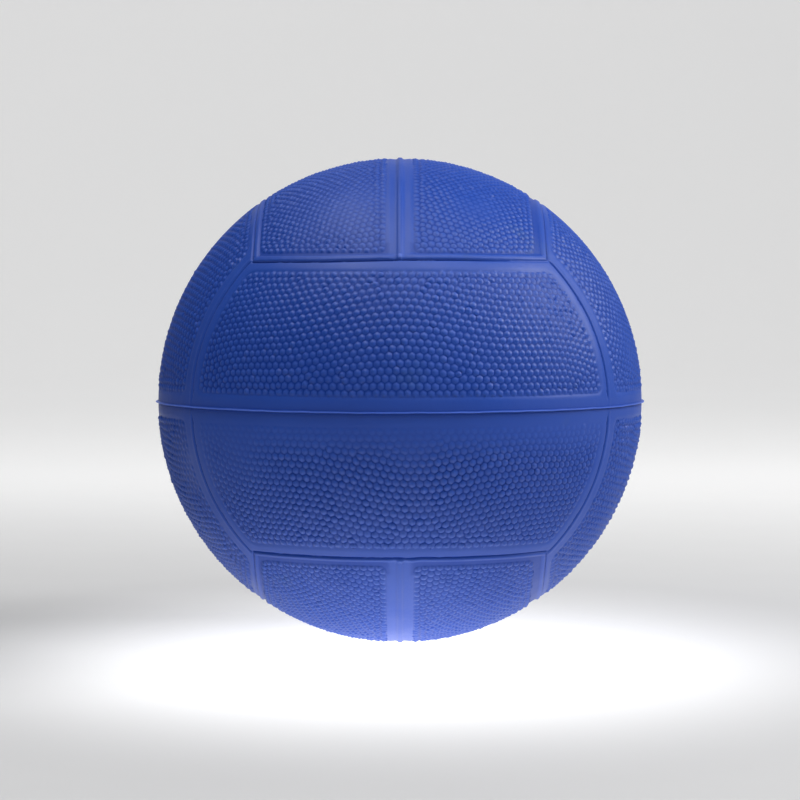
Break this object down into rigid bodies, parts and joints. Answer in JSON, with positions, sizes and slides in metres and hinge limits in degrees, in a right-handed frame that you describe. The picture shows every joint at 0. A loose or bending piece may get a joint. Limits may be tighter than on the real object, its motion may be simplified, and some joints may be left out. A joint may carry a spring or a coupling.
{
  "type": "playground ball",
  "caption": "Moulded rubber playground ball with pebbled panels, seam grooves, a raised parting line and an inflating valve.",
  "frame": {"origin": "centre of the ball", "axes": "+Z along the mould's opening direction, square to the parting line; the valve is on the +Y side, above the parting line; -Y is the front pair of panels"},
  "size_m": [0.2122, 0.2122, 0.2106],
  "materials": {
    "cover_rubber": "satin, pebbled",
    "winding_cord": "matte, thread bonded with latex",
    "bladder_rubber": "matte",
    "valve_rubber": "satin",
    "plug_rubber": "satin"
  },
  "bodies": {
    "root": {"upper_cover": "cover_rubber", "lower_cover": "cover_rubber", "cord_winding": "winding_cord", "bladder": "bladder_rubber", "valve_housing": "valve_rubber", "valve_plug": "plug_rubber"}
  },
  "joints": []
}
